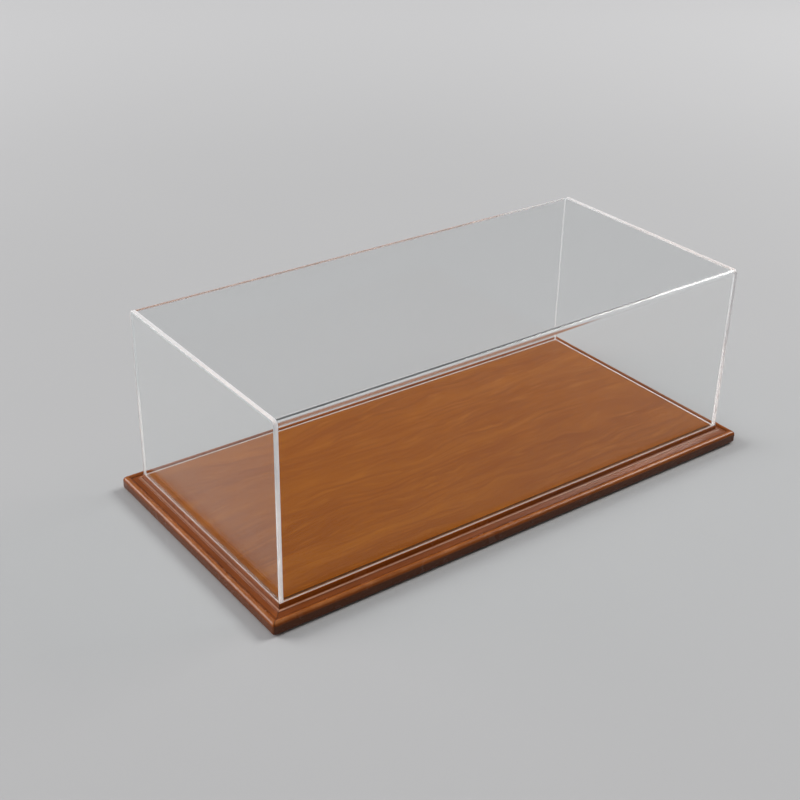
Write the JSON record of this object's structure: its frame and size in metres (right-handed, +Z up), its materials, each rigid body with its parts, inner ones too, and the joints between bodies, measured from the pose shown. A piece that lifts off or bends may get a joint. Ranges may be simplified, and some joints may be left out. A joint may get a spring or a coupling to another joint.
{
  "type": "display case",
  "caption": "Clear acrylic lift-off cover on a mitred mahogany base with a veneered deck, for showing a large scale model on a desk or shelf.",
  "frame": {"origin": "on the surface the case stands on, under the middle of the base", "axes": "+X along the case's long side, -Y its front, +Z up out of the deck"},
  "size_m": [0.4448, 0.2218, 0.1536],
  "materials": {
    "mahogany": "gloss lacquer over a red-brown stain",
    "mahogany_veneer": "satin lacquer on a lively flat-cut veneer",
    "backing_veneer": "sanded, unlacquered",
    "board": "fibreboard, sealed edges",
    "softwood": "sawn",
    "steel": "zinc plated",
    "rubber": "moulded, matt",
    "acrylic": "clear cast sheet with scraped edges"
  },
  "bodies": {
    "base": {"front_moulding": "mahogany", "rear_moulding": "mahogany", "left_moulding": "mahogany", "right_moulding": "mahogany", "deck_veneer": "mahogany_veneer", "deck_board": "board", "backing_veneer": "backing_veneer", "corner_block_front_left": "softwood", "corner_block_front_right": "softwood", "corner_block_rear_left": "softwood", "corner_block_rear_right": "softwood", "v_nail_front_left_inner": "steel", "v_nail_front_left_outer": "steel", "v_nail_front_right_inner": "steel", "v_nail_front_right_outer": "steel", "v_nail_rear_left_inner": "steel", "v_nail_rear_left_outer": "steel", "v_nail_rear_right_inner": "steel", "v_nail_rear_right_outer": "steel", "foot_front_left": "rubber", "foot_front_right": "rubber", "foot_rear_left": "rubber", "foot_rear_right": "rubber"},
    "cover": {"cover_wrap": "acrylic", "cover_left_end": "acrylic", "cover_right_end": "acrylic"}
  },
  "joints": [
    {"name": "cover_lift", "type": "slide", "parent": "base", "child": "cover", "axis": [0, 0, 1], "range_m": [0, 0.16]}
  ]
}
